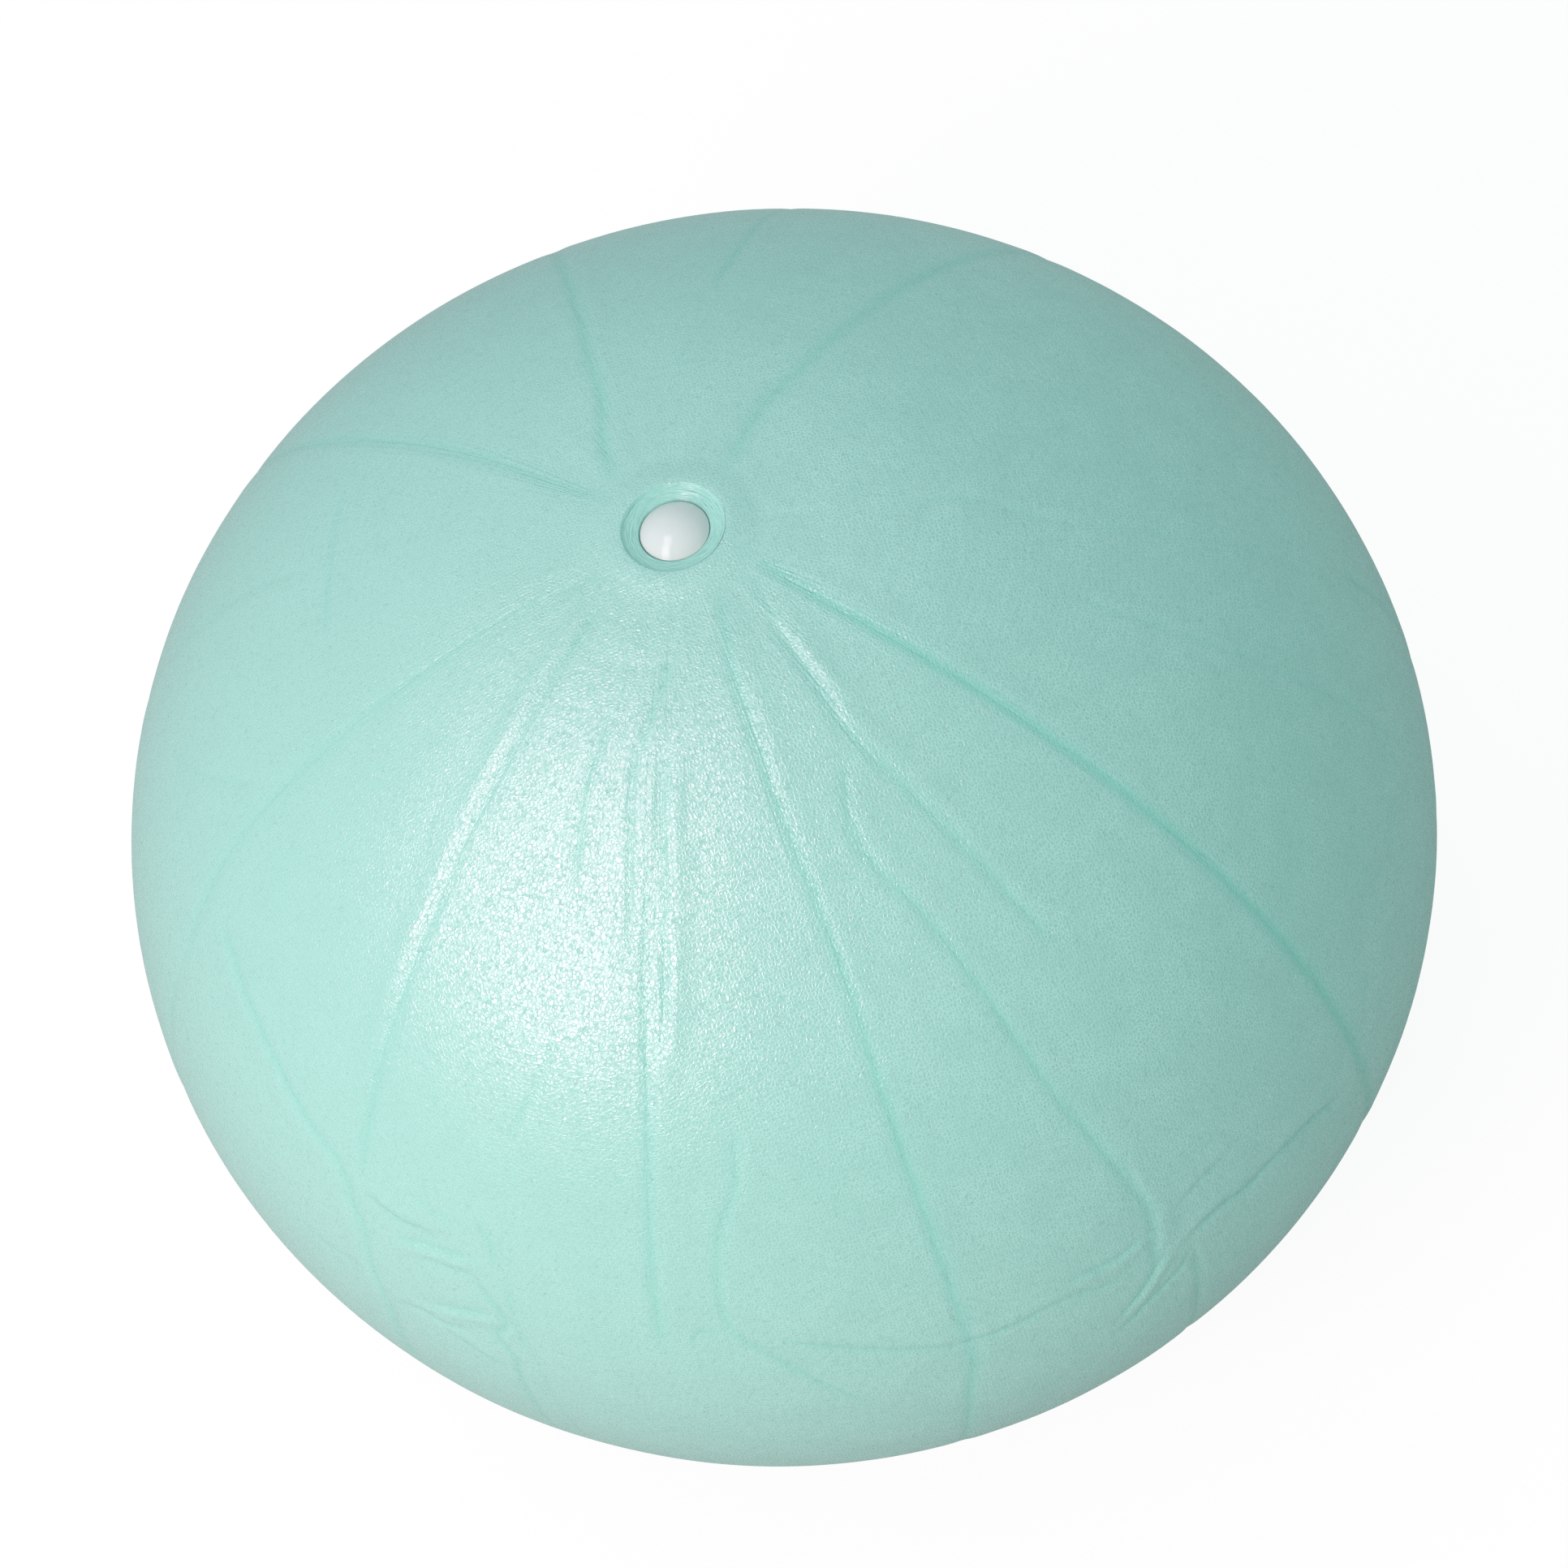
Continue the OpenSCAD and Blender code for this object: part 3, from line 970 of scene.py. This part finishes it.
# %% Finished skin
skin = grown("ball_skin", plain_skin, fold_press, {
    "Folds": fold_lines, "Fold Count": len(folds), "Material": vinyl})
bpy.data.objects.remove(plain_skin)
bpy.data.objects.remove(fold_lines)
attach(skin, "ball")
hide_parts("ball_shell")
print("ball skin:", triangles(skin.data), "triangles")

# %% [markdown]
# ## Valve dish and plug
#
# The dish is smooth vinyl without grain, so it shines more than the skin, and fine streaks from the mould run
# round it. The plug is white polythene, glossy and a little milky, and what it mirrors carries a painted mint
# tint.

# %% Dish and plug materials
DISH_LIGHT, DISH_DARK = (0.315, 0.635, 0.56, 1), (0.275, 0.60, 0.525, 1)
STREAKS = 2600
STREAK_HEIGHT = 0.0004
MILK_LIGHT, MILK_DARK = (0.55, 0.64, 0.62, 1), (0.52, 0.615, 0.597, 1)
PAINTED_REFLECTION_TINT = (0.62, 1.0, 0.86, 1)


def dish_material():
    """Smooth mint vinyl with short streaks that run round the axis."""
    made, w, shader = new_material("smooth_vinyl")
    place = w.node("ShaderNodeTexCoord", out="Object")
    fine = noise(w, place, 900.0)
    feed(w, shader, "Base Color", mixed(w, fine, DISH_LIGHT, DISH_DARK))
    feed(w, shader, "Roughness", 0.16 + 0.1 * fine)
    level = vector(w, "MULTIPLY", place, (1, 1, 0))
    across = vector(w, "LENGTH", level, out="Value")
    rise = w.node("ShaderNodeCombineXYZ", None, {"Z": across * STREAKS})
    round_about = vector(w, "MULTIPLY_ADD", vector(w, "NORMALIZE", level), (3, 3, 3), rise)
    feed(w, shader, "Normal", bump(w, noise(w, round_about, 1.0), STREAK_HEIGHT))
    return made


def plug_material():
    """Glossy white polythene."""
    made, w, shader = new_material("milky_polythene")
    fine = noise(w, w.node("ShaderNodeTexCoord", out="Object"), 700.0, 3.0)
    feed(w, shader, "Base Color", mixed(w, fine, MILK_LIGHT, MILK_DARK))
    feed(w, shader, "Roughness", 0.1 + 0.06 * fine)
    shader.inputs["Specular IOR Level"].default_value = 0.3
    # A painted mint tint on every reflection of the plug
    shader.inputs["Specular Tint"].default_value = PAINTED_REFLECTION_TINT
    return made


dish_vinyl, polythene = dish_material(), plug_material()
print("materials:", dish_vinyl.name, "and", polythene.name)

# %% [markdown]
# The dish is a ring, so its section is a closed loop instead of a line from axis to axis: up the outside of
# the tube, round the flange that is bonded under the skin, over the rim, down the dish and back down the
# bore. Below a small step at the rim the wall is a gentle slope with fine turning marks. Extra section points
# beside the sharp corners keep the shading of the faces straight.

# %% Valve seat
SEAT_COLUMNS = 144
RIM_R = HOLE_R + LIP_R / 2
RIM_Z = TOP_Z - 0.00033 - DENT
RIM_STEP, RIM_SHARE = 0.00032, 0.16
DISH_Z = TOP_Z - 0.0027
WALL_FOOT_R, WALL_FOOT_Z = 0.00645, DISH_Z + 0.0008
WALL_STEPS = 60
MARKS, MARK_HEIGHT = 7, 0.000008
TOE_IN, TOE_UP = 0.00015, 0.0002
FLANGE_R, FLANGE_T = seat_high.x, 0.0007
FLANGE_Z = TOP_Z - 0.0024 - DENT - MOUND
HUB_Z = TOP_Z - 0.0040 - DENT
TUBE_Z = TOP_Z - 0.0065
TUBE_R, BORE_R = 0.0052, 0.0030
EASE, MOUTH = 0.0003, 0.0005
CORNER = 0.00012


def under_skin(across):
    """Height of the inner face of the skin at a distance from the axis."""
    return CROWN_Z + math.sqrt((CROWN_R - SKIN_T) ** 2 - across ** 2)


def seat_outline():
    """Closed section of the seat, from the low end of the bore round the outside and back."""
    low = seat_low.z
    tube = [(BORE_R + EASE, low), (TUBE_R - EASE, low), (TUBE_R, low + EASE), (TUBE_R, TUBE_Z)]
    hub = [(HOLE_R, HUB_Z), (HOLE_R, FLANGE_Z)]
    flange = [(FLANGE_R, FLANGE_Z), (FLANGE_R, FLANGE_Z + FLANGE_T)]
    neck = [(HOLE_R, under_skin(HOLE_R) - DENT), (HOLE_R, RIM_Z - LIP_R)]
    wall = []
    for share in np.linspace(0, 1, WALL_STEPS):
        mark = MARK_HEIGHT * math.sin(2 * math.pi * MARKS * share) * math.sin(math.pi * share)
        near_rim = min(share / RIM_SHARE, 1)
        step = RIM_STEP * near_rim * near_rim * (3 - 2 * near_rim)
        slope = (WALL_FOOT_Z - RIM_Z + RIM_STEP) * share
        wall.append((RIM_R + (WALL_FOOT_R - RIM_R) * share, RIM_Z - step + slope + mark))
    toe = [(WALL_FOOT_R - TOE_IN, DISH_Z + TOE_UP), (WALL_FOOT_R - EASE, DISH_Z)]
    bottom = [(WALL_FOOT_R - EASE - CORNER, DISH_Z), (BORE_R + MOUTH + CORNER, DISH_Z)]
    mouth = [(BORE_R + MOUTH, DISH_Z), (BORE_R, DISH_Z - MOUTH)]
    bore = [(BORE_R, DISH_Z - MOUTH - CORNER), (BORE_R, low + EASE)]
    return [*tube, *hub, *flange, *neck, *wall, *toe, *bottom, *mouth, *bore]


seat = lathe("valve_dish", seat_outline(), SEAT_COLUMNS, closed=True)
seat.data.materials.append(dish_vinyl)
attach(seat, "ball")
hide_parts("valve_seat")
print("valve dish:", triangles(seat.data), "triangles")

# %% [markdown]
# The plug is one moulding too: a tapered tip, a stem with sealing ribs, a thin brim with a soft edge and the
# dome that a thumb presses.

# %% Plug
PLUG_COLUMNS = 112
HEAD_R = plug_high.x
BRIM_Z, BRIM_T = DISH_Z + 0.0001, 0.0005
DOME_R = 0.0085
DOME_Z = plug_high.z - DOME_R
STEM_R = BORE_R - 0.0005
RIB_R = 0.00075
RIB_X = BORE_R - 0.00005 - RIB_R
RIB_HEIGHTS = np.linspace(TOP_Z - 0.0145, DISH_Z - 0.0028, 3)
TIP_R, TIP_EDGE_R, TIP_LENGTH = 0.0012, 0.0015, 0.002


def plug_outline():
    """Section of the plug from the middle of its tip, over the ribs and the brim, to the top of the dome."""
    low = plug_low.z
    tip = [(0, low), (TIP_R, low), (TIP_EDGE_R, low + EASE)]
    tip.extend([(STEM_R, low + TIP_LENGTH), (STEM_R, low + TIP_LENGTH + CORNER)])
    reach = math.degrees(math.acos((STEM_R - RIB_X) / RIB_R))
    half_rib = RIB_R * math.sin(math.radians(reach))
    ribs = []
    for height in RIB_HEIGHTS:
        ribs.append((STEM_R, height - half_rib - CORNER))
        ribs.extend(arc((RIB_X, height), RIB_R, -reach, reach, 9))
        ribs.append((STEM_R, height + half_rib + CORNER))
    neck = [(STEM_R, BRIM_Z - EASE), (STEM_R + EASE, BRIM_Z), (STEM_R + EASE + CORNER, BRIM_Z)]
    brim = arc((HEAD_R - BRIM_T / 2, BRIM_Z + BRIM_T / 2), BRIM_T / 2, -90, 60, 8)
    dome_start = math.degrees(math.asin((BRIM_Z + BRIM_T - DOME_Z) / DOME_R))
    dome = arc((0, DOME_Z), DOME_R, dome_start, 90, 24)[:-1]
    return [*tip, *ribs, *neck, *brim, *dome, (0, DOME_Z + DOME_R)]


stopper = lathe("stopper", plug_outline(), PLUG_COLUMNS)
stopper.data.materials.append(polythene)
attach(stopper, "plug")
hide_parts("plug")
print("plug:", triangles(stopper.data), "triangles")

# %% [markdown]
# ## Floor, light and background
#
# A pale floor lies a tenth of a millimetre under the foot, so that the two faces don't share a plane. It is
# matt grey to the light in the room, and nearly white where the camera looks straight at it, as in a picture
# with the background bleached out.

# %% Floor
FLOOR_HALF = 3.0
FLOOR_Z = -0.0001
FLOOR_GREY, FLOOR_IN_GLOSS, FLOOR_SEEN = (0.60, 0.60, 0.60, 1), (0.40, 0.40, 0.40, 1), (0.93, 0.93, 0.93, 1)
FLOOR_GLOW = 0.9


def floor_material():
    """Matt grey for the light in the room, and a white glow with a soft shadow for the camera."""
    made, w = blank_material("pale_floor")
    seen = w.node("ShaderNodeLightPath", out="Is Camera Ray")
    grey = mixed(w, seen.out("Is Glossy Ray"), FLOOR_GREY, FLOOR_IN_GLOSS)
    matt = w.node("ShaderNodeBsdfDiffuse", None, {"Color": mixed(w, seen, grey, FLOOR_SEEN)})
    glow = w.node("ShaderNodeEmission", None, {"Color": (1, 1, 1, 1), "Strength": 1.0})
    both = w.node("ShaderNodeMixShader", None, {0: seen * FLOOR_GLOW, 1: matt, 2: glow})
    w.node("ShaderNodeOutputMaterial", None, {"Surface": both})
    return made


floor_mesh = bpy.data.meshes.new("floor")
corners = [(x * FLOOR_HALF, y * FLOOR_HALF, FLOOR_Z) for x, y in ((-1, -1), (1, -1), (1, 1), (-1, 1))]
floor_mesh.from_pydata(corners, [], [(0, 1, 2, 3)])
floor = bpy.data.objects.new("floor", floor_mesh)
bpy.context.scene.collection.objects.link(floor)
floor_mesh.materials.append(floor_material())
floor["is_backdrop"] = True
print("floor at", FLOOR_Z / MM, "mm")

# %% [markdown]
# The light comes from the left of the camera, and the room is even. Matt shading and gleams don't ask the
# same of a light: one needs a broad source, and the streak of glints a narrower one. So two soft lights, from
# the lower left and the upper left, are seen only by matt shading, and two smaller ones show only as gleams.
# The room is likewise weaker in reflections than in matt shading, and warmer.

# %% Light
LAMPS = {
    # name: (direction right, up and back in the view), distance, (width, height), watts, colour, what sees it
    "key_light": ((-0.56, -0.36, 0.75), 1.1, (0.55, 0.55), 9.6, (1.0, 0.70, 0.716), "visible_diffuse"),
    "side_light": ((-0.42, 0.77, 0.48), 1.3, (1.1, 1.1), 3.6, (1.0, 0.61, 0.85), "visible_diffuse"),
    "gleam_light": ((-0.57, -0.10, 0.82), 1.1, (0.32, 0.44), 4.9, (1.0, 0.49, 0.63), "visible_glossy"),
    "high_gleam": ((-0.48, 0.30, 0.83), 1.1, (0.30, 0.44), 3.3, (1.0, 0.51, 0.65), "visible_glossy"),
}
ROOM_STRENGTH = 0.783
ROOM_COLOUR = (0.838, 1.0, 0.995, 1)
GLOSS_COLOUR = (1.0, 0.92, 0.93, 1)
ROOM_IN_GLOSS = 0.56


def soft_light(name, direction, distance, size, watts, colour, seen_by):
    """An area light placed by its direction in the camera's view, facing the ball and level with the view."""
    lamp = bpy.data.objects.new(name, bpy.data.lights.new(name, "AREA"))
    lamp.data.shape = "RECTANGLE"
    lamp.data.size, lamp.data.size_y = size
    lamp.data.energy = watts
    lamp.data.color = colour
    bpy.context.scene.collection.objects.link(lamp)
    right, up, back = direction
    towards = (view_right * right + view_up * up + view_back * back).normalized()
    across = view_up.cross(towards).normalized()
    turned = Matrix((across, towards.cross(across), towards)).transposed().to_4x4()
    lamp.matrix_world = Matrix.Translation(Vector((0, 0, SIDE_R)) + towards * distance) @ turned
    for ray in ("visible_diffuse", "visible_glossy"):
        setattr(lamp, ray, ray == seen_by)
    return lamp


for name, sizes in LAMPS.items():
    soft_light(name, *sizes)
print("lights:", ", ".join(LAMPS))
world = bpy.data.worlds.new("room")
world.use_nodes = True
world.node_tree.nodes.clear()
w = Wire(world.node_tree)
mirrored = w.node("ShaderNodeLightPath", out="Is Glossy Ray")
strength = ROOM_STRENGTH * (1 - (1 - ROOM_IN_GLOSS) * mirrored)
colour = mixed(w, mirrored, ROOM_COLOUR, GLOSS_COLOUR)
room = w.node("ShaderNodeBackground", None, {"Color": colour, "Strength": strength})
w.node("ShaderNodeOutputWorld", None, {"Surface": room})
bpy.context.scene.world = world
bpy.context.scene.view_settings.view_transform = "Standard"

# %% [markdown]
# ## Finish
#
# The last cell gathers the box of the frame and of the dressed ball, so that their sizes can be compared.

# %% Sizes and finish
sizes = {"cad": [list(corner) for corner in cad_box], "visual": [list(corner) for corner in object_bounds()]}
